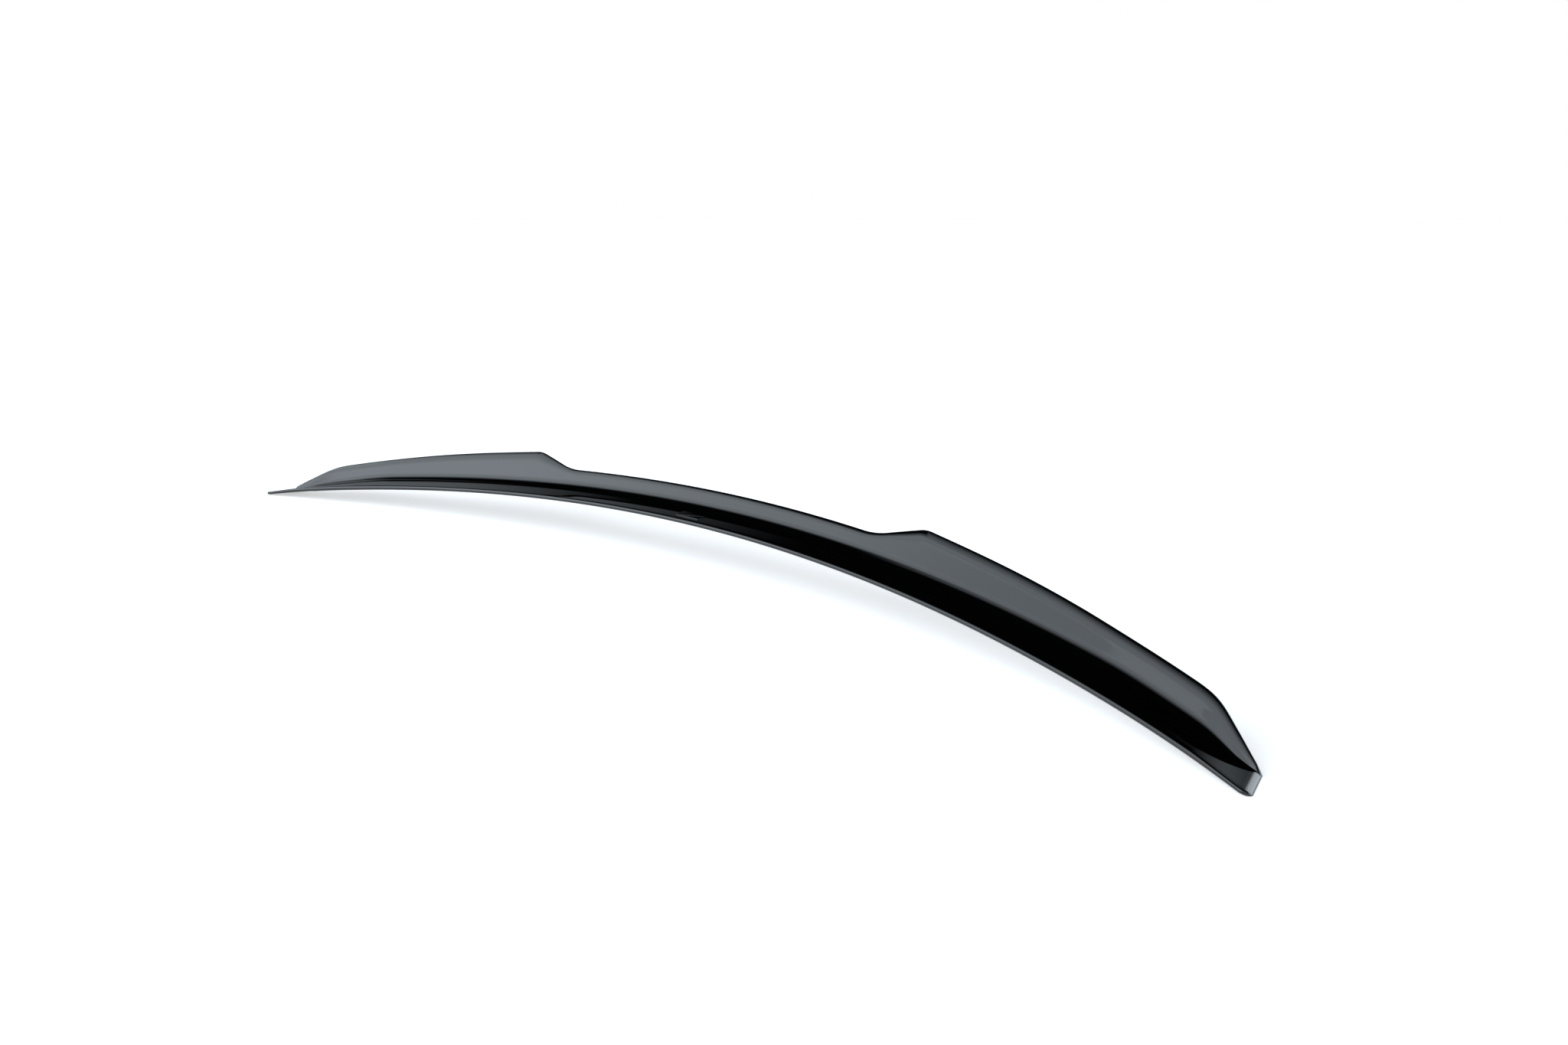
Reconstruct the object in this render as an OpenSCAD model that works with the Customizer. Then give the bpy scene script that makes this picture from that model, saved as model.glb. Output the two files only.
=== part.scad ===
// Boot lid spoiler: one thin-walled moulding with an open underside, bonded to the lid with foam tape.
// Origin: middle of the front tape, on the lid surface. +X left side of the car, +Y rearward, +Z up.
// A cross-section is given as [s, z]: s rearward from the front edge, z up from the lid.

/* [Span and lid] */
// Width between the two ends
span = 1247; // [1160:1:1320]
// Radius of the front edge seen from above
sweep_r = 1670; // [1400:10:2400]
// Radius of the crown of the lid seen from behind
crown_r = 4545; // [3500:5:8000]
// How far the lid drops below that crown at its two ends
lid_droop = 1.6; // [0:0.1:3]
// Distance from each end over which it drops
droop_run = 120; // [90:5:160]

/* [Base and apron] */
// Depth of the base in the middle
base_depth = 46; // [44:0.5:52]
// Depth of the base at the two ends
base_end_depth = 39.5; // [38:0.5:43]
// Distance from the front edge to the foot of the blade
apron_depth = 34.5; // [31:0.5:36]
// Height of the apron at the foot of the blade
apron_h = 9; // [8:0.1:10]
// Height of the same place at the two ends
apron_end_h = 3.9; // [3.4:0.1:4.2]
// Distance from each end over which the apron comes down
apron_fade = 154; // [120:1:180]
// Radius of the rounded front edge
nose_r = 2.4; // [2:0.1:2.8]
// Radius of the front edge at the two ends
nose_end_r = 1.7; // [1.4:0.1:2]

/* [Blade] */
// Slope of the front face of the blade
blade_angle = 59.5; // [56:0.5:64]
// Radius of the hollow between apron and blade
fillet_r = 16; // [10:0.5:18]
// Height of the low middle part over the lid
centre_h = 26.0; // [24:0.1:28]
// Height of the wings at their inner shoulder
wing_h = 41.3; // [36:0.1:44]
// Height of the wings at their outer shoulder
tip_h = 23.4; // [22:0.1:24.5]
// Rise of the wing's edge over a straight line
wing_crown = 1.4; // [0:0.1:2.5]
// Radius of the blade's convex upper part on the low middle part
rim_r = 14; // [10:0.5:18]
// Radius of the blade's convex upper part on the wings
wing_rim_r = 28; // [18:0.5:32]
// Slope at which the convex part ends in the trailing edge
rim_slope = 37; // [32:0.5:44]
// Radius of the trailing edge
edge_r = 2.4; // [1.5:0.1:3]

/* [Step] */
// Half width of the low middle part
step_in = 213; // [190:1:250]
// Width of the ramp up to the wing
step_w = 54; // [44:1:64]
// Radius at the bottom of the ramp
valley_r = 102; // [60:1:130]
// Radius at the top of the ramp
peak_r = 38; // [25:1:50]

/* [Ends] */
// Distance of the wing's outer shoulder from the end
shoulder_in = 40.5; // [39:0.5:50]
// Radius of the outer shoulder
shoulder_r = 124; // [100:1:130]
// Height where the wing dies out over the apron
end_h = 5.3; // [5:0.1:6]
// Distance from the end to where the wing dies out
tail_in = 9.7; // [8:0.1:11]
// Radius of the curve where the wing dies out
tail_r = 10; // [8:0.5:12]
// How much nearer the middle the rear corner of an end lies
end_slant = 9.5; // [4:0.5:14]
// Radius of the front corner seen from above
corner_r = 8; // [5:0.5:9]
// Radius of the rounded end wall
end_r = 4; // [3:0.1:5]

/* [Shell] */
// Wall thickness
wall = 3; // [2.6:0.1:3.2]
// Gap between the land and the lid
lid_gap = 0.5; // [0.3:0.1:0.7]
// Width of the front land
front_land = 17; // [16:0.1:18.5]
// Width of the rear land
rear_land = 6.6; // [6.2:0.1:7.2]
// Width of the slot at its top inside the blade
slot_w = 1.5; // [1.2:0.1:2]
// Height up to which the rear land is thickened
land_h = 7; // [6:0.5:8]
// Distance of the closed end blocks from the ends
end_block = 84; // [80:1:110]
// Thickness of the ribs
rib_t = 2; // [1.6:0.1:3]
// Spacing of the ribs
rib_pitch = 90; // [60:1:120]
// Gap between the ribs and the lid
rib_gap = 2; // [1.5:0.1:2.4]

/* [Foam tape] */
// Thickness of the tape
tape_t = 1.1; // [1:0.1:1.2]
// Width of the front tape
front_tape_w = 12; // [10:0.5:12.5]
// Width of the rear tape
rear_tape_w = 5; // [4:0.1:5.2]
// Distance of the tape's ends from the ends of the part
tape_in = 66; // [62:1:100]
// Edge left beside each channel
tape_edge = 0.8; // [0.6:0.1:0.9]

/* [Emblem plate] */
// Width of the bare plate on the apron
plate_w = 32; // [24:1:40]
// Depth of the plate
plate_d = 11; // [8:0.5:13]
// Thickness of the plate
plate_t = 1; // [0.6:0.1:1.4]
// Corner radius of the plate
plate_r = 1.5; // [0.8:0.1:3]
// Distance of the plate from the front edge
plate_in = 7; // [5:0.5:9]

/* [Hidden] */

half = span / 2;
// Slope of a rib's sides, as a width
rib_draft = 0.4;
// Distances from an end between which its edge slants
slant_run = 60;
slant_end = 10;
// Distances from an end over which the base, the front edge and the apron change
base_run = 90;
nose_run = 50;
apron_flat = 44;
// Bevel at the foot of the rear face
foot_chamfer = 0.8;
// Edge left in front of the rear channel
rear_tape_edge = 0.4;
// Bevel round the top of the plate
plate_edge = 0.3;
// Largest upper radius, trailing edge and hollow, as shares of the blade's height, that radius and its face
most_roll = 2.5;
most_edge = 0.8;
most_hollow = 0.6;
// Least height of the cavity's top over the hollow, and of its corners over each other
slot_rise = 2;
slot_knee = 0.8;
roof_step = 0.3;
// Place of the two inner points of a land that has no channel, as a share of its width
land_split = 0.1;
// Points along the rounded parts of a section
nose_seg = 3;
fillet_seg = 4;
rim_seg = 3;
edge_seg = 4;
under_seg = 2;
// Distance between sections on the plain stretches and on the curved ones, and the least distance
coarse = 34;
fine = 9;
least = 3;
// Lengths before and after the step, and before the shoulder, with the closer sections
step_lead = 12;
step_follow = 8;
shoulder_lead = 40;
// Turns of the sections round the end wall, in degrees
end_turns = [0, 30, 60, 80];

// Corners of the top edge seen from behind, and the slopes between them
knot = [
    [step_in, centre_h],
    [step_in + step_w, wing_h],
    [half - shoulder_in, tip_h],
    [half - tail_in, end_h]
];
function rise(a, b) = atan2(b[1] - a[1], b[0] - a[0]);
slope = [0, rise(knot[0], knot[1]), rise(knot[1], knot[2]), rise(knot[2], knot[3]), 0];
knot_r = [valley_r, peak_r, shoulder_r, tail_r];

function mix(a, b, t) = a + (b - a) * t;
function clamp01(t) = min(max(t, 0), 1);
function ease(t) = let (u = clamp01(t)) u * u * (3 - 2 * u);

// Height at x of two lines that meet at p with slopes a1 and a2, joined by an arc of radius r
function bend(x, p, a1, a2, r) =
    let (
        t = r * abs(tan((a2 - a1) / 2)),
        x1 = p[0] - t * cos(a1),
        x2 = p[0] + t * cos(a2),
        side = a2 > a1 ? 1 : -1,
        cx = x1 - side * r * sin(a1),
        cz = p[1] - t * sin(a1) + side * r * cos(a1)
    )
    x <= x1 ? p[1] + (x - p[0]) * tan(a1)
    : x >= x2 ? p[1] + (x - p[0]) * tan(a2)
    : cz - side * sqrt(max(r * r - (x - cx) * (x - cx), 0));

// Distance from the middle at which the arc at corner i ends
function arc_end(i) =
    knot[i][0] + knot_r[i] * abs(tan((slope[i + 1] - slope[i]) / 2)) * cos(slope[i + 1]);

// Smooth rise from 0 to 1 in the middle and back, level at both ends
function bump(t) = pow(4 * t * (1 - t), 2);

// Height of the top edge over the lid at the distance x from the middle
function top_h(x) =
    let (
        i = x < arc_end(0) ? 0 : x < arc_end(1) ? 1 : x < arc_end(2) ? 2 : 3,
        m = clamp01((x - knot[1][0]) / (knot[2][0] - knot[1][0]))
    )
    bend(x, knot[i], slope[i], slope[i + 1], knot_r[i]) + wing_crown * bump(m);

// Values of the section that change along the part, h being its distance from the middle
function slanting(h) = ease((h - half + slant_run) / (slant_run - slant_end));
function blade_x(h) = h - end_slant * slanting(h);
function apron_z(h) = mix(apron_h, apron_end_h, ease((h - half + apron_fade) / (apron_fade - apron_flat)));
function base_d(h) = mix(base_depth, base_end_depth, ease((h - half + base_run) / (base_run - slant_end)));
function nose_rad(h) = mix(nose_r, nose_end_r, ease((h - half + nose_run) / nose_run));
function roll_r(h) = mix(rim_r, wing_rim_r, ease((h - step_in) / step_w));

function arc(c, r, a1, a2, n) =
    [for (i = [0:n]) let (a = mix(a1, a2, i / n)) [c[0] + r * cos(a), c[1] + r * sin(a)]];
function tail_of(list, from) = [for (i = [from:len(list) - 1]) list[i]];

// Frame of the section: [apron slope, hollow centre, hollow radius, centre and radius of the upper part,
// angle at its end, centre and radius of the trailing edge, slope of the rear face, nose centre]
function frame_at(h) =
    let (
        top = top_h(blade_x(h)),
        crease = [apron_depth, apron_z(h)],
        nr = nose_rad(h),
        nose = [nr, lid_gap + nr],
        reach = crease - nose,
        apron_a = atan2(reach[1], reach[0]) - asin(nr / norm(reach)),
        rr = min(roll_r(h), most_roll * (top - crease[1])),
        er = min(edge_r, most_edge * rr),
        back = 90 + rim_slope,
        roll_z = top - er - (rr - er) * sin(back),
        face = (roll_z + rr * cos(blade_angle) - crease[1]) / sin(blade_angle),
        turn = (blade_angle - apron_a) / 2,
        leg = min(fillet_r * tan(turn), most_hollow * face),
        fr = leg / tan(turn),
        hollow = crease - leg * [cos(apron_a), sin(apron_a)] + fr * [-sin(apron_a), cos(apron_a)],
        roll_s = crease[0] + face * cos(blade_angle) + rr * sin(blade_angle),
        edge = [roll_s + (rr - er) * cos(back), roll_z + (rr - er) * sin(back)],
        down = edge - [base_d(h), lid_gap],
        rear_a = atan2(down[1], down[0]) - asin(er / norm(down))
    )
    [apron_a, hollow, fr, [roll_s, roll_z], rr, back, edge, er, rear_a, nose];

// Outside of the section, from the front edge over the top to the rear of the base
function outside(h) =
    let (
        f = frame_at(h),
        nose = arc(f[9], nose_rad(h), 180, 90 + f[0], nose_seg),
        hollow = arc(f[1], f[2], f[0] - 90, blade_angle - 90, fillet_seg),
        roll = arc(f[3], f[4], 90 + blade_angle, f[5], rim_seg),
        edge = arc(f[6], f[7], f[5], f[8] - 90, edge_seg),
        foot = [base_d(h), lid_gap]
    )
    concat(
        nose,
        [(nose[nose_seg] + hollow[0]) / 2],
        hollow,
        roll,
        tail_of(edge, 1),
        [foot + foot_chamfer * [cos(f[8]), sin(f[8])]],
        [foot - [foot_chamfer, 0]]
    );

// Channel for a tape between s1 and s2, or the flat land where there is no tape
function channel(s1, s2, deep) =
    let (z = deep ? tape_t : lid_gap, d = deep ? 0 : land_split)
    [[s1, lid_gap], [mix(s1, s2, d), z], [mix(s2, s1, d), z], [s2, lid_gap]];

function rear_tape_s(h) = base_d(h) - rear_land + rear_tape_edge;
front_tape_s = front_land - tape_edge - front_tape_w;
origin_s = front_tape_s + front_tape_w / 2;

// Inside of the section, from the rear land to the front land, closed flat at the height z unless open
function inside(h, open, z) =
    let (
        f = frame_at(h),
        s_rear = base_d(h) - rear_land,
        lean = 1 / tan(f[8]),
        back_wall = wall / sin(f[8]),
        face_wall = wall / sin(blade_angle),
        cot_b = 1 / tan(blade_angle),
        face_s0 = apron_depth - apron_z(h) * cot_b + face_wall,
        rear_s0 = base_d(h) - lid_gap * lean - back_wall,
        slot_z = (rear_s0 - face_s0 - slot_w) / (cot_b - lean),
        under_r = f[2] + wall,
        low = f[1][1] - under_r * cos(f[0]),
        top_z = max(slot_z, low + slot_rise),
        turn = min(blade_angle, acos(clamp01((f[1][1] - top_z + slot_knee) / under_r))),
        under = arc(f[1], under_r, turn - 90, f[0] - 90, under_seg),
        knee = min(land_h, top_z - slot_knee),
        flat_s = front_land + rib_draft,
        roof_z = apron_z(h) + (flat_s - apron_depth) * tan(f[0]) - wall / cos(f[0]),
        hollow = concat(
            [[rear_s0 + knee * lean, knee]],
            [[rear_s0 + top_z * lean, top_z]],
            [[rear_s0 + top_z * lean - slot_w, top_z]],
            under,
            [[flat_s, max(roof_z, z + roof_step)]]
        ),
        n = len(hollow)
    )
    concat(
        [[s_rear, lid_gap]],
        open ? hollow : [for (i = [0:n - 1]) [mix(s_rear - rib_draft, flat_s, i / (n - 1)), z]],
        [[front_land, lid_gap]]
    );

// Whole section as one closed ring; bay is 2 in an open bay, 1 on a rib and 0 in the end blocks
function ring(h, bay) =
    let (
        deep = h <= half - tape_in,
        nr = nose_rad(h),
        a = outside(h),
        rear = channel(rear_tape_s(h), rear_tape_s(h) + rear_tape_w, deep),
        front = channel(front_tape_s, front_tape_s + front_tape_w, deep),
        under_nose = arc([nr, lid_gap + nr], nr, 270, 180, under_seg)
    )
    concat(
        a,
        [for (i = [3:-1:0]) rear[i]],
        inside(h, bay == 2, bay == 1 ? rib_gap : lid_gap),
        [for (i = [3:-1:0]) front[i]],
        [for (i = [0:under_seg - 1]) under_nose[i]]
    );

// Height of the lid under the front edge, below its middle
function lid_z(h) =
    let (d = max(h - half + droop_run, 0) / droop_run)
    sqrt(crown_r * crown_r - h * h) - crown_r - lid_droop * d * d;

// Place of a section point on the car: swept, crowned, rounded at the corners and slanted at the ends
function placed(h, p, side) =
    let (
        depth = base_d(h),
        c = max(h - half + corner_r, 0),
        inset = corner_r - sqrt(max(corner_r * corner_r - c * c, 0)),
        e = clamp01((h - half + end_r) / end_r),
        in_s = p[0] * (depth - inset) / depth,
        z = lid_gap + (p[1] - lid_gap) * (p[1] > lid_gap ? sqrt(1 - e * e) : 1)
    )
    [
        side * (h - end_slant * slanting(h) * in_s / base_end_depth),
        inset + in_s - origin_s - sweep_r + sqrt(sweep_r * sweep_r - h * h),
        z + lid_z(h)
    ];

// Distances of the sections from the middle: [h, bay], close together at the step and at the ends
step_start = step_in - step_lead;
step_stop = step_in + step_w + step_follow;
shoulder_start = half - shoulder_in - shoulder_lead;
function pitch(h) = (h >= step_start && h < step_stop) || h >= shoulder_start ? fine : coarse;
function next_h(h) =
    h < step_start ? min(h + coarse, step_start)
    : h < shoulder_start ? min(h + pitch(h), shoulder_start)
    : h + fine;
function walk(h, stop, bay) =
    stop - h < least ? [] : concat([[h, bay]], walk(next_h(h), stop, bay));

block_h = half - end_block;
rib_n = floor((block_h - coarse / 2) / rib_pitch - 0.5);
function rib_h(i) = rib_pitch / 2 + i * rib_pitch;
function rib_at(i) =
    let (r = rib_h(i), a = rib_t / 2, b = rib_t / 2 + rib_draft)
    [[r - b, 2], [r - a, 1], [r + a, 1], [r + b, 2]];
function bay_after(i) =
    let (
        from = rib_h(i) + rib_t / 2 + rib_draft,
        to = i < rib_n ? rib_h(i + 1) - rib_t / 2 - rib_draft : block_h
    )
    tail_of(walk(from, to, 2), 1);
half_list = concat(
    walk(0, rib_h(0) - rib_t / 2 - rib_draft, 2),
    [for (i = [0:rib_n]) each concat(rib_at(i), bay_after(i))],
    [[block_h, 2]],
    walk(block_h + rib_draft, half - corner_r, 0),
    [[half - corner_r, 0]],
    [for (a = end_turns) [half - end_r + end_r * sin(a), 0]]
);
last = len(half_list) - 1;
// One list from the right end to the left end: [h, bay, side]
stations = concat(
    [for (i = [last:-1:1]) [half_list[i][0], half_list[i][1], -1]],
    [for (e = half_list) [e[0], e[1], 1]]
);

// Faces that join rings of n points, m rings in all
function skin(m, n) =
    [for (i = [0:m - 2], j = [0:n - 1])
        let (a = i * n + j, b = i * n + (j + 1) % n)
        each [[a, b, b + n], [a, b + n, a + n]]];

// Triangles between an upper and a lower chain of ring points that both run rearward
function stitch(p, u, v, i, j) =
    i == len(u) - 1 && j == len(v) - 1 ? []
    : j == len(v) - 1 || (i < len(u) - 1 && p[u[i + 1]][1] <= p[v[j + 1]][1])
        ? concat([[u[i], u[i + 1], v[j]]], stitch(p, u, v, i + 1, j))
        : concat([[u[i], v[j + 1], v[j]]], stitch(p, u, v, i, j + 1));

function flipped(faces) = [for (f = faces) [f[2], f[1], f[0]]];

module shell_body() {
    rings = [for (t = stations) [for (p = ring(t[0], t[1])) placed(t[0], p, t[2])]];
    n = len(rings[0]);
    m = len(rings);
    points = [for (r = rings) each r];
    rear_i = len(outside(0)) - 1;
    upper = [for (j = [0:rear_i - 1]) j];
    lower = [for (j = [n - 1:-1:rear_i]) j];
    start = stitch(points, upper, lower, 0, 0);
    shift = (m - 1) * n;
    finish = [for (f = stitch(rings[m - 1], upper, lower, 0, 0)) [f[0] + shift, f[1] + shift, f[2] + shift]];
    polyhedron(points, concat(skin(m, n), flipped(start), finish));
}

// A strip of tape between the lid and its channel, following the sections of the shell
module tape(wide, rear) {
    list = [for (t = stations) if (t[0] <= half - tape_in) t];
    rings = [
        for (t = list)
            let (s = rear ? rear_tape_s(t[0]) : front_tape_s)
            [for (p = [[s + wide, 0], [s + wide, tape_t], [s, tape_t], [s, 0]]) placed(t[0], p, t[2])]
    ];
    m = len(rings);
    e = 4 * (m - 1);
    polyhedron(
        [for (r = rings) each r],
        flipped(concat(skin(m, 4), [[2, 1, 0], [3, 2, 0], [e, e + 1, e + 2], [e, e + 2, e + 3]]))
    );
}

module rounded_plate(w, d, r, t) {
    linear_extrude(t) {
        square([w - 2 * r, d], center = true);
        square([w, d - 2 * r], center = true);
        for (x = [-1, 1], y = [-1, 1]) translate([x * (w / 2 - r), y * (d / 2 - r)]) circle(r, $fn = 32);
    }
}

module spoiler_shell() {
    color([0.04, 0.04, 0.045]) shell_body();
}

module emblem_plate() {
    f = frame_at(0);
    s = plate_in + plate_d / 2 * cos(f[0]);
    z = apron_h + (s - apron_depth) * tan(f[0]);
    color([0.02, 0.02, 0.02])
        translate([0, s - origin_s, z])
        rotate([f[0], 0, 0]) {
            rounded_plate(plate_w, plate_d, plate_r, plate_t - plate_edge);
            rounded_plate(plate_w - 2 * plate_edge, plate_d - 2 * plate_edge, plate_r - plate_edge, plate_t);
        }
}

module front_tape() {
    color([0.25, 0.25, 0.26]) tape(front_tape_w, false);
}

module rear_tape() {
    color([0.25, 0.25, 0.26]) tape(rear_tape_w, true);
}

spoiler_shell();
emblem_plate();
front_tape();
rear_tape();
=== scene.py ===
"""A gloss black lip spoiler for a boot lid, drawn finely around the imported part, in plain soft studio light.

Lengths are in metres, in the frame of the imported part: +X left side of the car, +Y rearward, +Z up.
A cross-section is given as (s, z): s rearward from the front edge, z up from the lid.
"""

from math import acos, asin, atan2, cos, hypot, pi, radians, sin, sqrt, tan

import bpy
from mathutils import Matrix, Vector


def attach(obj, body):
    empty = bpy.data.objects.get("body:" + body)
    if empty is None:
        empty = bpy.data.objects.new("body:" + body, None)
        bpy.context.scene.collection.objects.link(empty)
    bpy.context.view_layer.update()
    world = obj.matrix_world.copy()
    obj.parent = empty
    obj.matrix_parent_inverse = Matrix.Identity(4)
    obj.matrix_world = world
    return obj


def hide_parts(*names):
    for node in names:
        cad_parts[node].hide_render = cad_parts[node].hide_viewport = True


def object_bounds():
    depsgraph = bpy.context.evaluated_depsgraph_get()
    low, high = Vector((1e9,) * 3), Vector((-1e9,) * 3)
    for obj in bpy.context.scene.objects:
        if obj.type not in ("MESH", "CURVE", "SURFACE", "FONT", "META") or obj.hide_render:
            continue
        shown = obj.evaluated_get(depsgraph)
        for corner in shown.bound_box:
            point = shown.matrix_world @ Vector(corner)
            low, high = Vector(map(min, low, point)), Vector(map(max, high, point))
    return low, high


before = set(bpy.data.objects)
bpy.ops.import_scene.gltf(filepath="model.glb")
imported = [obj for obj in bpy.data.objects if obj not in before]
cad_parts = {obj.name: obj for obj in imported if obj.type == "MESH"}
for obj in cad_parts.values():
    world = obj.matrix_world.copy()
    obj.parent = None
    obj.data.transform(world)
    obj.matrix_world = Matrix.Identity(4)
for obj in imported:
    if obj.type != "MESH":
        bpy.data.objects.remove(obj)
CAD_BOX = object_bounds()
FLOOR_Z = CAD_BOX[0][2]

# Camera: the photograph's viewpoint
CAMERA_AT = Vector((0.9069, -0.8411, 0.2981))
CAMERA_AIM = Vector((-0.6613, 0.7124, -0.2347))
SENSOR_W = 36.0
PHOTO_W = 2048.0
FOCAL_PX = 1700.0
CLIP_START = 0.01

# Span and lid
SPAN = 1.247
HALF = SPAN / 2
SWEEP_R = 1.670
CROWN_R = 4.545
LID_DROOP = 0.0016
DROOP_RUN = 0.120

# Base and apron
BASE_DEPTH = 0.046
BASE_END_DEPTH = 0.0395
BASE_RUN = 0.090
APRON_DEPTH = 0.0345
APRON_H = 0.009
APRON_END_H = 0.0039
APRON_FADE = 0.154
APRON_FLAT = 0.044
NOSE_R = 0.0024
NOSE_END_R = 0.0017
NOSE_RUN = 0.050

# Blade
BLADE_ANGLE = radians(59.5)
FILLET_R = 0.016
CENTRE_H = 0.026
WING_H = 0.0413
TIP_H = 0.0234
WING_CROWN = 0.0014
RIM_R = 0.014
WING_RIM_R = 0.028
RIM_SLOPE = radians(37)
EDGE_R = 0.0024

# Step between the middle and the wings
STEP_IN = 0.213
STEP_W = 0.054
VALLEY_R = 0.102
PEAK_R = 0.038

# Ends
SHOULDER_IN = 0.0405
SHOULDER_R = 0.124
END_H = 0.0053
TAIL_IN = 0.0097
TAIL_R = 0.010
END_SLANT = 0.0095
SLANT_RUN = 0.060
SLANT_END = 0.010
CORNER_R = 0.008
END_R = 0.004

# Wall, lands, ribs and tape under the shell
WALL = 0.003
LID_GAP = 0.0005
FRONT_LAND = 0.017
REAR_LAND = 0.0066
SLOT_W = 0.0015
LAND_H = 0.007
END_BLOCK = 0.084
RIB_T = 0.002
RIB_PITCH = 0.090
RIB_GAP = 0.002
RIB_DRAFT = 0.0004
FOOT_CHAMFER = 0.0008
TAPE_T = 0.0011
FRONT_TAPE_W = 0.012
REAR_TAPE_W = 0.005
TAPE_BULGE = 0.00025
TAPE_IN = 0.066
TAPE_EDGE = 0.0008
REAR_TAPE_EDGE = 0.0004
FRONT_TAPE_S = FRONT_LAND - TAPE_EDGE - FRONT_TAPE_W
ORIGIN_S = FRONT_TAPE_S + FRONT_TAPE_W / 2

# Limits on the section's arcs where the blade is low, and on the cavity where it is narrow
MOST_ROLL = 2.5
MOST_EDGE = 0.8
MOST_HOLLOW = 0.6
SLOT_RISE = 0.002
SLOT_KNEE = 0.0008
ROOF_STEP = 0.0003
LAND_SPLIT = 0.1

# Emblem plate
PLATE_W = 0.032
PLATE_D = 0.011
PLATE_T = 0.001
PLATE_R = 0.0015
PLATE_IN = 0.007
PLATE_EDGE = 0.0003

# Steps along each stretch of a section or a rounded edge, and the distance between sections
NOSE_SEG = 12
APRON_SEG = 8
HOLLOW_SEG = 20
BLADE_SEG = 8
ROLL_SEG = 12
EDGE_SEG = 14
REAR_SEG = 6
UNDER_SEG = 8
TAPE_SEG = 6
PLATE_CORNER_SEG = 10
PLATE_EDGE_SEG = 6
SECTION_STEP = 0.0026
END_TURNS = 12
LAST_TURN = radians(88)
SHARP = radians(28)

# What a section shows inside
OPEN_BAY, RIB, CLOSED = 2, 1, 0

# Noise: the range in which most of its values lie
NOISE_RANGE = (0.3, 0.7)

# Floor: half its width, and its glow for the rays that show the backdrop
FLOOR_REACH = 30.0
FLOOR_LIFT = 0.52

# Studio light, by the direction that it comes from. A pair tells where a soft edge starts and ends.
WHITE = (1.0, 1.0, 1.0)
LIGHT_TINT = (0.90, 1.0, 1.085)
CEILING = 0.002
HORIZON = 1.0
HORIZON_Z = (0.03, 0.45)

# Large light to the front right: its level at the back and in front, with some more in one part of the front
SOFTBOX_BACK = 2.4
SOFTBOX_FRONT = 3.15
FRONT_Y = (-0.50, -0.60)
SOFTBOX_MORE = 0.62
MORE_X = (-0.75, -0.725)
MORE_Y = (-0.40, -0.46)

# Its left and right edges, beyond which the fill goes on
SOFTBOX_LEFT = (-0.05, -0.45)
SOFTBOX_RIGHT = (-0.95, -0.87)
FILL_LIGHT = 1.1

# Its rear edge, where y + z * SOFTBOX_TILT = SOFTBOX_REACH, how soft it is, and its setback on the right
SOFTBOX_REACH = 0.90
SOFTBOX_TILT = 1.01
SOFTBOX_FADE = 0.58
SOFTBOX_HOLD = 0.22
HOLD_X = (-0.68, -0.64)

# Smaller light behind, on the left
SIDE_LIGHT = 2.6
SIDE_X = (-0.26, 0.02)
SIDE_Y = (0.10, 0.50)
SIDE_Z = (0.60, 0.30)


def rise(a, b):
    """The angle of the line from a to b."""
    return atan2(b[1] - a[1], b[0] - a[0])


def mix(a, b, t):
    """The value at t on the way from a to b."""
    return a + (b - a) * t


def clamp01(t):
    """t, kept between 0 and 1."""
    return min(max(t, 0.0), 1.0)


def ease(t):
    """From 0 to 1 with soft ends as t goes from 0 to 1."""
    u = clamp01(t)
    return u * u * (3 - 2 * u)


def swell(t):
    """From 0 up to 1 and back with soft ends as t goes from 0 to 1."""
    return 16 * (t * (1 - t)) ** 2


# Corners of the top edge seen from behind, and the slopes between them
KNOTS = [
    (STEP_IN, CENTRE_H),
    (STEP_IN + STEP_W, WING_H),
    (HALF - SHOULDER_IN, TIP_H),
    (HALF - TAIL_IN, END_H),
]
SLOPES = [0.0] + [rise(a, b) for a, b in zip(KNOTS, KNOTS[1:])] + [0.0]
KNOT_R = [VALLEY_R, PEAK_R, SHOULDER_R, TAIL_R]


def bend(x, p, a1, a2, r):
    """Height at x of two lines that meet at p with slopes a1 and a2, joined by an arc of radius r."""
    t = r * abs(tan((a2 - a1) / 2))
    side = 1 if a2 > a1 else -1
    x1 = p[0] - t * cos(a1)
    x2 = p[0] + t * cos(a2)
    if x <= x1:
        return p[1] + (x - p[0]) * tan(a1)
    if x >= x2:
        return p[1] + (x - p[0]) * tan(a2)
    cx = x1 - side * r * sin(a1)
    cz = p[1] - t * sin(a1) + side * r * cos(a1)
    return cz - side * sqrt(max(r * r - (x - cx) ** 2, 0.0))


def arc_end(i):
    """Distance from the middle at which the arc at corner i ends."""
    return KNOTS[i][0] + KNOT_R[i] * abs(tan((SLOPES[i + 1] - SLOPES[i]) / 2)) * cos(SLOPES[i + 1])


def top_h(x):
    """Height of the top edge over the lid at the distance x from the middle."""
    i = sum(x >= arc_end(k) for k in range(3))
    m = clamp01((x - KNOTS[1][0]) / (KNOTS[2][0] - KNOTS[1][0]))
    return bend(x, KNOTS[i], SLOPES[i], SLOPES[i + 1], KNOT_R[i]) + WING_CROWN * swell(m)


def slanting(h):
    """0 along the span, 1 where the end slants fully."""
    return ease((h - HALF + SLANT_RUN) / (SLANT_RUN - SLANT_END))


def apron_z(h):
    """Height of the crease between apron and blade."""
    return mix(APRON_H, APRON_END_H, ease((h - HALF + APRON_FADE) / (APRON_FADE - APRON_FLAT)))


def base_d(h):
    """Depth of the base."""
    return mix(BASE_DEPTH, BASE_END_DEPTH, ease((h - HALF + BASE_RUN) / (BASE_RUN - SLANT_END)))


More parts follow.
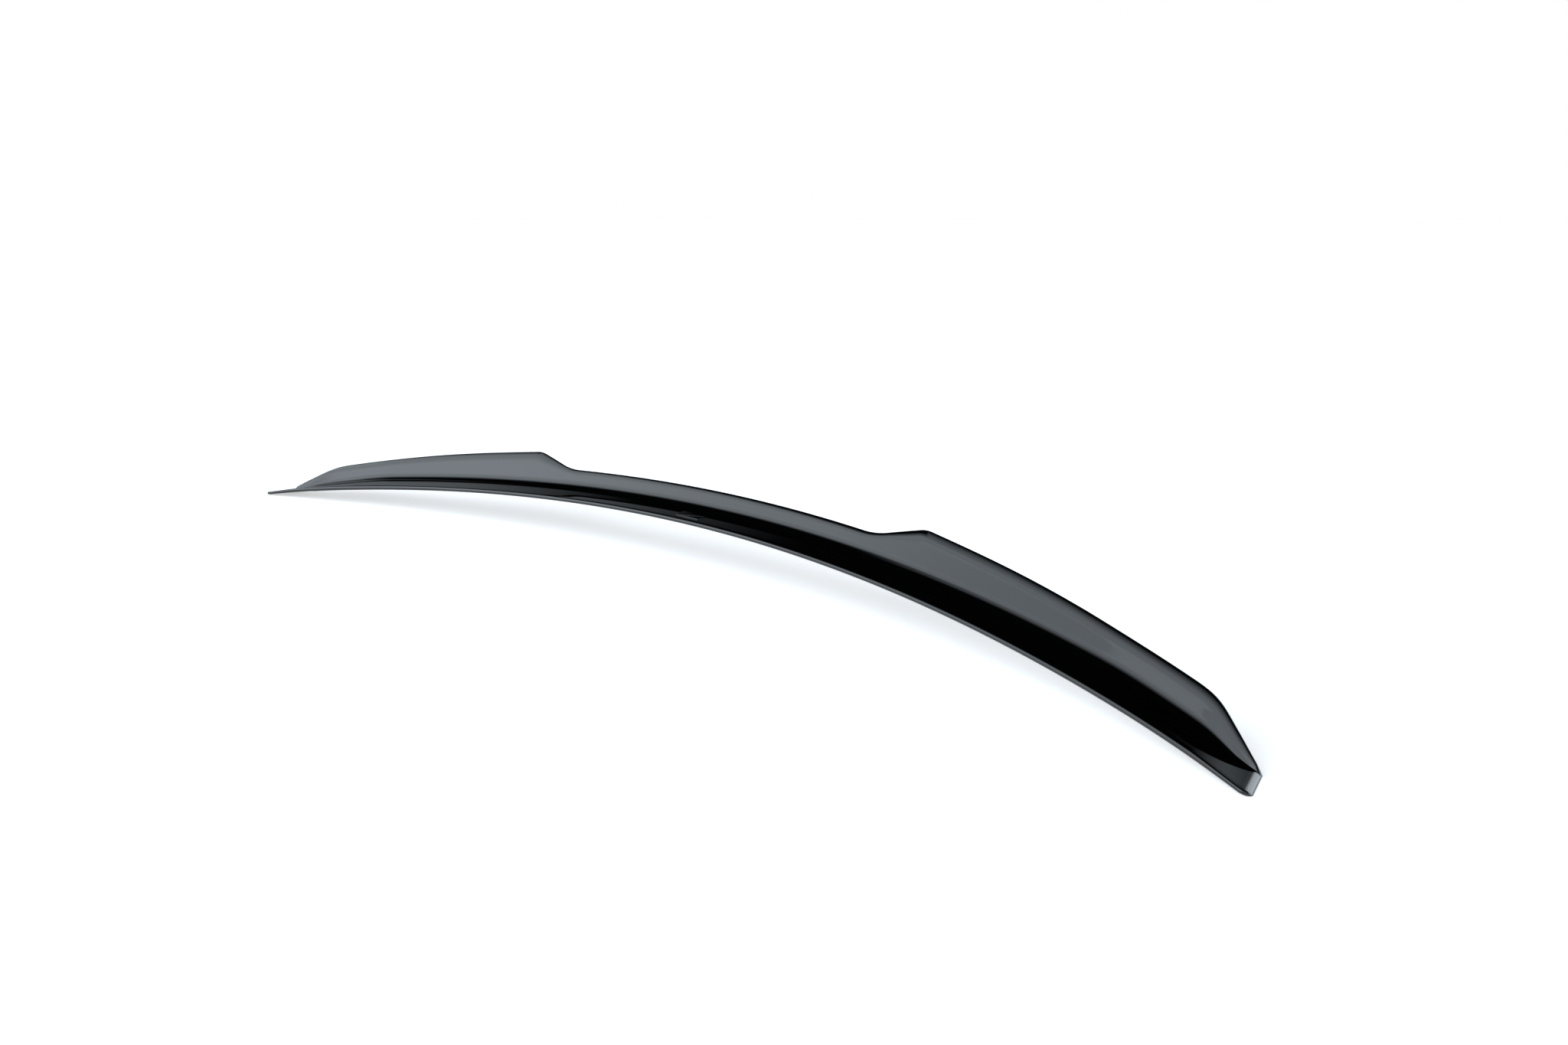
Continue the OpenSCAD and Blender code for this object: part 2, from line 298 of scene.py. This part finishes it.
def nose_rad(h):
    """Radius of the front edge."""
    return mix(NOSE_R, NOSE_END_R, ease((h - HALF + NOSE_RUN) / NOSE_RUN))


def roll_r(h):
    """Radius of the arc at the top of the blade."""
    return mix(RIM_R, WING_RIM_R, ease((h - STEP_IN) / STEP_W))


def arc(c, r, a1, a2, n):
    """Points of an arc in n steps from the angle a1 to a2."""
    return [(c[0] + r * cos(mix(a1, a2, i / n)), c[1] + r * sin(mix(a1, a2, i / n))) for i in range(n + 1)]


def between(a, b, n):
    """The n - 1 points that part the line from a to b into n."""
    return [(mix(a[0], b[0], i / n), mix(a[1], b[1], i / n)) for i in range(1, n)]


class Section:
    """The cross-section at the distance h from the middle."""

    def __init__(self, h):
        self.h = h
        top = top_h(h - END_SLANT * slanting(h))
        self.crease_z = apron_z(h)
        self.nose_r = nose_rad(h)
        self.nose = (self.nose_r, LID_GAP + self.nose_r)
        reach = (APRON_DEPTH - self.nose[0], self.crease_z - self.nose[1])
        self.apron_a = atan2(reach[1], reach[0]) - asin(self.nose_r / hypot(*reach))
        self.roll_r = min(roll_r(h), MOST_ROLL * (top - self.crease_z))
        self.edge_r = min(EDGE_R, MOST_EDGE * self.roll_r)
        self.back = pi / 2 + RIM_SLOPE
        roll_z = top - self.edge_r - (self.roll_r - self.edge_r) * sin(self.back)
        face = (roll_z + self.roll_r * cos(BLADE_ANGLE) - self.crease_z) / sin(BLADE_ANGLE)
        turn = (BLADE_ANGLE - self.apron_a) / 2
        leg = min(FILLET_R * tan(turn), MOST_HOLLOW * face)
        self.hollow_r = leg / tan(turn)
        self.hollow = (
            APRON_DEPTH - leg * cos(self.apron_a) - self.hollow_r * sin(self.apron_a),
            self.crease_z - leg * sin(self.apron_a) + self.hollow_r * cos(self.apron_a),
        )
        roll_s = APRON_DEPTH + face * cos(BLADE_ANGLE) + self.roll_r * sin(BLADE_ANGLE)
        self.roll = (roll_s, roll_z)
        self.edge = (
            roll_s + (self.roll_r - self.edge_r) * cos(self.back),
            roll_z + (self.roll_r - self.edge_r) * sin(self.back),
        )
        self.depth = base_d(h)
        down = (self.edge[0] - self.depth, self.edge[1] - LID_GAP)
        self.rear_a = atan2(down[1], down[0]) - asin(self.edge_r / hypot(*down))

    def outside(self):
        """From the front edge over the top to the rear of the base."""
        nose = arc(self.nose, self.nose_r, pi, pi / 2 + self.apron_a, NOSE_SEG)
        hollow = arc(self.hollow, self.hollow_r, self.apron_a - pi / 2, BLADE_ANGLE - pi / 2, HOLLOW_SEG)
        roll = arc(self.roll, self.roll_r, pi / 2 + BLADE_ANGLE, self.back, ROLL_SEG)
        edge = arc(self.edge, self.edge_r, self.back, self.rear_a - pi / 2, EDGE_SEG)
        foot = (
            self.depth + FOOT_CHAMFER * cos(self.rear_a),
            LID_GAP + FOOT_CHAMFER * sin(self.rear_a),
        )
        return (
            nose + between(nose[-1], hollow[0], APRON_SEG)
            + hollow + between(hollow[-1], roll[0], BLADE_SEG)
            + roll + edge[1:] + between(edge[-1], foot, REAR_SEG)
            + [foot, (self.depth - FOOT_CHAMFER, LID_GAP)]
        )

    def inside(self, bay):
        """From the rear land to the front land, through the cavity or across a rib or a closed end."""
        s_rear = self.depth - REAR_LAND
        flat_s = FRONT_LAND + RIB_DRAFT
        z = RIB_GAP if bay == RIB else LID_GAP
        lean = 1 / tan(self.rear_a)
        cot_b = 1 / tan(BLADE_ANGLE)
        # The inner faces of the blade and of the rear wall, as the s where each would reach z = 0
        face_s0 = APRON_DEPTH - self.crease_z * cot_b + WALL / sin(BLADE_ANGLE)
        rear_s0 = self.depth - LID_GAP * lean - WALL / sin(self.rear_a)
        under_r = self.hollow_r + WALL
        low = self.hollow[1] - under_r * cos(self.apron_a)
        # The slot ends where these faces are SLOT_W apart
        top_z = max((rear_s0 - face_s0 - SLOT_W) / (cot_b - lean), low + SLOT_RISE)
        turn = min(BLADE_ANGLE, acos(clamp01((self.hollow[1] - top_z + SLOT_KNEE) / under_r)))
        knee = min(LAND_H, top_z - SLOT_KNEE)
        roof_z = self.crease_z + (flat_s - APRON_DEPTH) * tan(self.apron_a) - WALL / cos(self.apron_a)
        cavity = (
            [(rear_s0 + knee * lean, knee), (rear_s0 + top_z * lean, top_z)]
            + [(rear_s0 + top_z * lean - SLOT_W, top_z)]
            + arc(self.hollow, under_r, turn - pi / 2, self.apron_a - pi / 2, UNDER_SEG)
            + [(flat_s, max(roof_z, z + ROOF_STEP))]
        )
        if bay != OPEN_BAY:
            last = len(cavity) - 1
            cavity = [(mix(s_rear - RIB_DRAFT, flat_s, i / last), z) for i in range(last + 1)]
        return [(s_rear, LID_GAP)] + cavity + [(FRONT_LAND, LID_GAP)]

    def ring(self, bay):
        """The whole section as one closed ring, and how many of its points belong to the outside."""
        deep = self.h <= HALF - TAPE_IN
        outside = self.outside()
        rear_s = self.depth - REAR_LAND + REAR_TAPE_EDGE
        under_nose = arc(self.nose, self.nose_r, 1.5 * pi, pi, UNDER_SEG)
        points = (
            outside
            + channel(rear_s, rear_s + REAR_TAPE_W, deep)[::-1]
            + self.inside(bay)
            + channel(FRONT_TAPE_S, FRONT_TAPE_S + FRONT_TAPE_W, deep)[::-1]
            + under_nose[:-1]
        )
        return points, len(outside)


def channel(s1, s2, deep):
    """Channel for a tape between s1 and s2, or the flat land where there is no tape."""
    z = TAPE_T if deep else LID_GAP
    d = 0.0 if deep else LAND_SPLIT
    return [(s1, LID_GAP), (mix(s1, s2, d), z), (mix(s2, s1, d), z), (s2, LID_GAP)]


def lid_z(h):
    """Height of the lid under the front edge, below its middle."""
    d = max(h - HALF + DROOP_RUN, 0.0) / DROOP_RUN
    return sqrt(CROWN_R**2 - h * h) - CROWN_R - LID_DROOP * d * d


def placed(h, p, side, depth):
    """A section point on the car: swept, crowned, rounded at the corners and slanted at the ends."""
    c = max(h - HALF + CORNER_R, 0.0)
    inset = CORNER_R - sqrt(max(CORNER_R**2 - c * c, 0.0))
    e = clamp01((h - HALF + END_R) / END_R)
    in_s = p[0] * (depth - inset) / depth
    z = LID_GAP + (p[1] - LID_GAP) * (sqrt(1 - e * e) if p[1] > LID_GAP else 1.0)
    return (
        side * (h - END_SLANT * slanting(h) * in_s / BASE_END_DEPTH),
        inset + in_s - ORIGIN_S - SWEEP_R + sqrt(SWEEP_R**2 - h * h),
        z + lid_z(h),
    )


def walk(start, stop, bay):
    """Sections at an even distance from start to just before stop."""
    n = max(1, round((stop - start) / SECTION_STEP))
    return [(mix(start, stop, i / n), bay) for i in range(n)]


def half_stations():
    """Distances of the sections from the middle to an end, each with its bay."""
    block = HALF - END_BLOCK
    out = []
    at = 0.0
    for i in range(int(block / RIB_PITCH)):
        rib = RIB_PITCH / 2 + i * RIB_PITCH
        near, far = rib - RIB_T / 2, rib + RIB_T / 2
        out += walk(at, near - RIB_DRAFT, OPEN_BAY) + [(near - RIB_DRAFT, OPEN_BAY), (near, RIB)]
        out += [(far, RIB)]
        at = far + RIB_DRAFT
    out += walk(at, block, OPEN_BAY) + [(block, OPEN_BAY)]
    out += walk(block + RIB_DRAFT, HALF - END_R, CLOSED)
    turns = [i / END_TURNS * pi / 2 for i in range(END_TURNS)] + [LAST_TURN]
    return out + [(HALF - END_R + END_R * sin(a), CLOSED) for a in turns]


def stations():
    """One list from the right end to the left end: (distance, bay, side)."""
    half = half_stations()
    return [(h, bay, -1) for h, bay in half[:0:-1]] + [(h, bay, 1) for h, bay in half]


def tube_faces(rings, n):
    """Faces that join rings of n points and close the first and the last ring."""
    last = (rings - 1) * n
    sides = [
        (i + j, i + (j + 1) % n, i + n + (j + 1) % n, i + n + j)
        for i in range(0, last, n)
        for j in range(n)
    ]
    return sides + [tuple(range(n))[::-1], tuple(range(last, last + n))]


def new_piece(name, points, faces, materials):
    """A smooth mesh object whose edges are sharp where they turn by more than SHARP."""
    mesh = bpy.data.meshes.new(name)
    mesh.from_pydata(points, [], faces)
    mesh.update()
    for material in materials:
        mesh.materials.append(material)
    mesh.shade_smooth()
    mesh.set_sharp_from_angle(angle=SHARP)
    piece = bpy.data.objects.new(name, mesh)
    bpy.context.scene.collection.objects.link(piece)
    return piece


def shell(outside_material, inside_material):
    """The moulded shell, finely drawn: gloss outside, grained underneath."""
    points = []
    all_stations = stations()
    for h, bay, side in all_stations:
        section = Section(h)
        ring, outer = section.ring(bay)
        points += [placed(h, p, side, section.depth) for p in ring]
    n = len(ring)
    faces = tube_faces(len(all_stations), n)
    piece = new_piece("spoiler_skin", points, faces, [outside_material, inside_material])
    nose_start = n - UNDER_SEG
    for i, polygon in enumerate(piece.data.polygons):
        polygon.material_index = int(outer - 1 <= i % n < nose_start)
    return piece


def tape(name, wide, rear, material):
    """A strip of foam tape whose two sides bulge a little."""
    points = []
    chosen = [s for s in stations() if s[0] <= HALF - TAPE_IN]
    for h, _, side in chosen:
        depth = base_d(h)
        s = depth - REAR_LAND + REAR_TAPE_EDGE if rear else FRONT_TAPE_S
        outline = [(s, TAPE_T), (s + wide, TAPE_T)]
        for x, sign in ((s + wide, 1), (s, -1)):
            levels = range(TAPE_SEG, -1, -1) if sign > 0 else range(TAPE_SEG + 1)
            for k in levels:
                inset = TAPE_BULGE * (1 - sin(pi * k / TAPE_SEG))
                outline.append((x - sign * inset, LID_GAP * k / TAPE_SEG))
        points += [placed(h, p, side, depth) for p in outline]
    return new_piece(name, points, tube_faces(len(chosen), len(outline)), [material])


def plate(material):
    """The bare plate on the apron: a rounded rectangle with a rounded top edge."""
    tilt = Section(0.0).apron_a
    s = PLATE_IN + PLATE_D / 2 * cos(tilt)
    z = APRON_H + (s - APRON_DEPTH) * tan(tilt)
    levels = [(0.0, 0.0)]
    for k in range(PLATE_EDGE_SEG + 1):
        a = k / PLATE_EDGE_SEG * pi / 2
        levels.append((PLATE_EDGE * (1 - cos(a)), PLATE_T - PLATE_EDGE * (1 - sin(a))))
    points = []
    for inset, up in levels:
        r = PLATE_R - inset
        for quarter, (sx, sy) in enumerate(((1, 1), (-1, 1), (-1, -1), (1, -1))):
            cx = sx * (PLATE_W / 2 - PLATE_R)
            cy = sy * (PLATE_D / 2 - PLATE_R)
            for k in range(PLATE_CORNER_SEG + 1):
                a = (quarter + k / PLATE_CORNER_SEG) * pi / 2
                x, y = cx + r * cos(a), cy + r * sin(a)
                rearward = s - ORIGIN_S + y * cos(tilt) - up * sin(tilt)
                points.append((x, rearward, z + y * sin(tilt) + up * cos(tilt)))
    n = 4 * (PLATE_CORNER_SEG + 1)
    return new_piece("bare_plate", points, tube_faces(len(levels), n), [material])


class Nodes:
    """A node tree that is built line by line."""

    def __init__(self, tree):
        self.tree = tree

    def add(self, kind, **inputs):
        """A new node, with a value or a link for each input that is named."""
        node = self.tree.nodes.new(kind)
        for name, value in inputs.items():
            self.put(node.inputs[name.replace("_", " ")], value)
        return node

    def put(self, socket, value):
        """Link another node's output to the socket, or set a plain value on it."""
        if isinstance(value, bpy.types.NodeSocket):
            self.tree.links.new(value, socket)
        else:
            socket.default_value = value

    def math(self, kind, *values):
        """One kind of arithmetic on the values, taken from the first to the last."""
        result = values[0]
        for value in values[1:]:
            node = self.add("ShaderNodeMath")
            node.operation = kind
            self.put(node.inputs[0], result)
            self.put(node.inputs[1], value)
            result = node.outputs[0]
        return result

    def ramp(self, value, edge, low=0.0, high=1.0, kind="LINEAR"):
        """A number that goes from low to high while the value goes from edge[0] to edge[1]."""
        node = self.add("ShaderNodeMapRange", Value=value, From_Min=edge[0], From_Max=edge[1])
        self.put(node.inputs["To Min"], low)
        self.put(node.inputs["To Max"], high)
        node.interpolation_type = kind
        return node.outputs["Result"]

    def step(self, value, edge, low=0.0, high=1.0):
        """A ramp with soft ends."""
        return self.ramp(value, edge, low, high, "SMOOTHSTEP")

    def noise(self, scale, detail=3.0, roughness=0.5):
        """A noise value from 0 to 1, its scale in lumps per metre of the part."""
        place = self.add("ShaderNodeTexCoord").outputs["Object"]
        node = self.add("ShaderNodeTexNoise", Vector=place, Scale=scale, Detail=detail, Roughness=roughness)
        return node.outputs["Fac"]

    def blend(self, value, first, second):
        """A colour that goes from the first to the second while the value goes from 0 to 1."""
        node = self.add("ShaderNodeMix")
        node.data_type = "RGBA"
        self.put(node.inputs["Factor"], value)
        colours = [socket for socket in node.inputs if socket.type == "RGBA"]
        self.put(colours[0], (*first, 1.0))
        self.put(colours[1], (*second, 1.0))
        return next(socket for socket in node.outputs if socket.type == "RGBA")

    def bump(self, value, distance, strength, under=None):
        """A relief, over another one where that is given."""
        node = self.add("ShaderNodeBump", Height=value, Distance=distance, Strength=strength)
        if under is not None:
            self.put(node.inputs["Normal"], under)
        return node.outputs["Normal"]


class Shader(Nodes):
    """A new material and the nodes around its shader."""

    def __init__(self, name):
        self.material = bpy.data.materials.new(name)
        self.material.use_nodes = True
        super().__init__(self.material.node_tree)
        self.bsdf = self.tree.nodes["Principled BSDF"]

    def set(self, name, value):
        """Set or link an input of the shader."""
        self.put(self.bsdf.inputs[name], value)


def gloss_black():
    """Polished black plastic: mirror gloss with faint ripple, haze and dust."""
    m = Shader("gloss_black")
    haze = m.noise(scale=9.0, detail=4.0)
    ripple = m.noise(scale=38.0, detail=1.0)
    dust = m.noise(scale=2600.0, detail=2.0)
    m.set("Base Color", m.blend(haze, (0.0004, 0.0004, 0.0005), (0.0008, 0.0008, 0.0009)))
    m.set("Roughness", m.ramp(haze, NOISE_RANGE, low=0.020, high=0.045))
    wave = m.bump(ripple, distance=0.00004, strength=0.35)
    m.set("Normal", m.bump(dust, distance=0.000001, strength=0.05, under=wave))
    m.set("IOR", 1.5)
    return m.material


def grained_black():
    """The moulded underside: black plastic with a fine grain."""
    m = Shader("grained_black")
    grain = m.noise(scale=2200.0, detail=3.0, roughness=0.6)
    flow = m.noise(scale=14.0, detail=3.0)
    m.set("Base Color", m.blend(flow, (0.018, 0.018, 0.019), (0.030, 0.030, 0.031)))
    m.set("Roughness", m.ramp(flow, NOISE_RANGE, low=0.46, high=0.60))
    m.set("Normal", m.bump(grain, distance=0.00006, strength=0.5))
    return m.material


def plate_black():
    """The bare plate: polished black with the faintest haze."""
    m = Shader("plate_black")
    haze = m.noise(scale=120.0, detail=3.0)
    m.set("Base Color", m.blend(haze, (0.0014, 0.0014, 0.0016), (0.0022, 0.0022, 0.0024)))
    m.set("Roughness", m.ramp(haze, NOISE_RANGE, low=0.05, high=0.10))
    return m.material


def foam_black():
    """Closed-cell foam tape: matte charcoal with small pores."""
    m = Shader("foam_black")
    place = m.add("ShaderNodeTexCoord").outputs["Object"]
    pores = m.add("ShaderNodeTexVoronoi", Vector=place, Scale=1500.0).outputs["Distance"]
    cloud = m.noise(scale=60.0, detail=3.0)
    m.set("Base Color", m.blend(cloud, (0.040, 0.040, 0.043), (0.062, 0.062, 0.065)))
    m.set("Roughness", m.ramp(cloud, NOISE_RANGE, low=0.80, high=0.92))
    m.set("Normal", m.bump(pores, distance=0.00015, strength=0.6))
    return m.material


def studio_floor():
    """A pale floor that keeps the shadow, lifted to white where the eye or a mirror sees it."""
    mesh = bpy.data.meshes.new("studio_floor")
    corners = [(-FLOOR_REACH, -FLOOR_REACH), (FLOOR_REACH, -FLOOR_REACH)]
    corners += [(FLOOR_REACH, FLOOR_REACH), (-FLOOR_REACH, FLOOR_REACH)]
    mesh.from_pydata([(x, y, FLOOR_Z) for x, y in corners], [], [(0, 1, 2, 3)])
    m = Shader("pale_floor")
    tone = m.noise(scale=3.0, detail=3.0)
    m.set("Base Color", m.blend(tone, (0.86, 0.86, 0.86), (0.88, 0.88, 0.88)))
    m.set("Roughness", 0.9)
    m.set("Emission Color", (*WHITE, 1.0))
    ray = m.add("ShaderNodeLightPath").outputs
    seen = m.math("MAXIMUM", ray["Is Camera Ray"], ray["Is Glossy Ray"], ray["Is Transmission Ray"])
    m.set("Emission Strength", m.math("MULTIPLY", seen, FLOOR_LIFT))
    mesh.materials.append(m.material)
    floor = bpy.data.objects.new("studio_floor", mesh)
    bpy.context.scene.collection.objects.link(floor)


def studio_world():
    """White to the camera. To all else, the studio's lights and pale horizon under a dark ceiling."""
    world = bpy.data.worlds.new("studio")
    bpy.context.scene.world = world
    world.use_nodes = True
    w = Nodes(world.node_tree)
    direction = w.add("ShaderNodeTexCoord").outputs["Generated"]
    x, y, z = w.add("ShaderNodeSeparateXYZ", Vector=direction).outputs

    # The large light is brightest in front, and weakens to the fill past its left and right edges
    more = w.math("MULTIPLY", w.step(x, MORE_X), w.step(y, MORE_Y, high=SOFTBOX_MORE))
    level = w.math("ADD", w.step(y, FRONT_Y, SOFTBOX_BACK, SOFTBOX_FRONT), more)
    width = w.math("MULTIPLY", w.step(x, SOFTBOX_LEFT), w.step(x, SOFTBOX_RIGHT))
    beam = w.math("MULTIPLY", w.math("SUBTRACT", level, FILL_LIGHT), width)
    beam = w.math("ADD", beam, FILL_LIGHT)

    # It ends along a slanting edge over the part, which lies further forward on the right
    reach = w.math("ADD", w.math("MULTIPLY", z, SOFTBOX_TILT), y)
    depth = w.math("SUBTRACT", SOFTBOX_REACH, reach)
    hold = w.step(x, HOLD_X, SOFTBOX_HOLD, 0.0)
    fade = w.math("DIVIDE", w.math("SUBTRACT", depth, hold), w.math("SUBTRACT", SOFTBOX_FADE, hold))
    softbox = w.math("MULTIPLY", w.step(fade, (0.0, 1.0)), beam)

    horizon = w.step(z, HORIZON_Z, HORIZON, 0.0)
    side = w.math("MULTIPLY", w.step(x, SIDE_X), w.step(z, SIDE_Z), w.step(y, SIDE_Y), SIDE_LIGHT)
    light = w.math("MAXIMUM", softbox, horizon, side, CEILING)
    camera = w.add("ShaderNodeLightPath").outputs["Is Camera Ray"]
    strength = w.math("ADD", w.math("MULTIPLY", light, w.math("SUBTRACT", 1.0, camera)), camera)
    background = w.tree.nodes["Background"]
    w.put(background.inputs["Strength"], strength)
    w.put(background.inputs["Color"], w.blend(camera, LIGHT_TINT, WHITE))


def photo_camera():
    """The camera from which the photograph was taken."""
    data = bpy.data.cameras.new("photo_camera")
    data.sensor_width = SENSOR_W
    data.lens = SENSOR_W * FOCAL_PX / PHOTO_W
    data.clip_start = CLIP_START
    camera = bpy.data.objects.new("photo_camera", data)
    camera.location = CAMERA_AT
    camera.rotation_euler = CAMERA_AIM.to_track_quat("-Z", "Y").to_euler()
    bpy.context.scene.collection.objects.link(camera)
    bpy.context.scene.camera = camera


def dress(piece, node):
    """Put a piece on the one body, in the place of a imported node."""
    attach(piece, "root")
    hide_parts(node)


photo_camera()
bpy.context.scene.view_settings.view_transform = "Standard"
studio_world()
studio_floor()
foam = foam_black()
dress(shell(gloss_black(), grained_black()), "spoiler_shell")
dress(plate(plate_black()), "emblem_plate")
dress(tape("front_foam", FRONT_TAPE_W, False, foam), "front_tape")
dress(tape("rear_foam", REAR_TAPE_W, True, foam), "rear_tape")
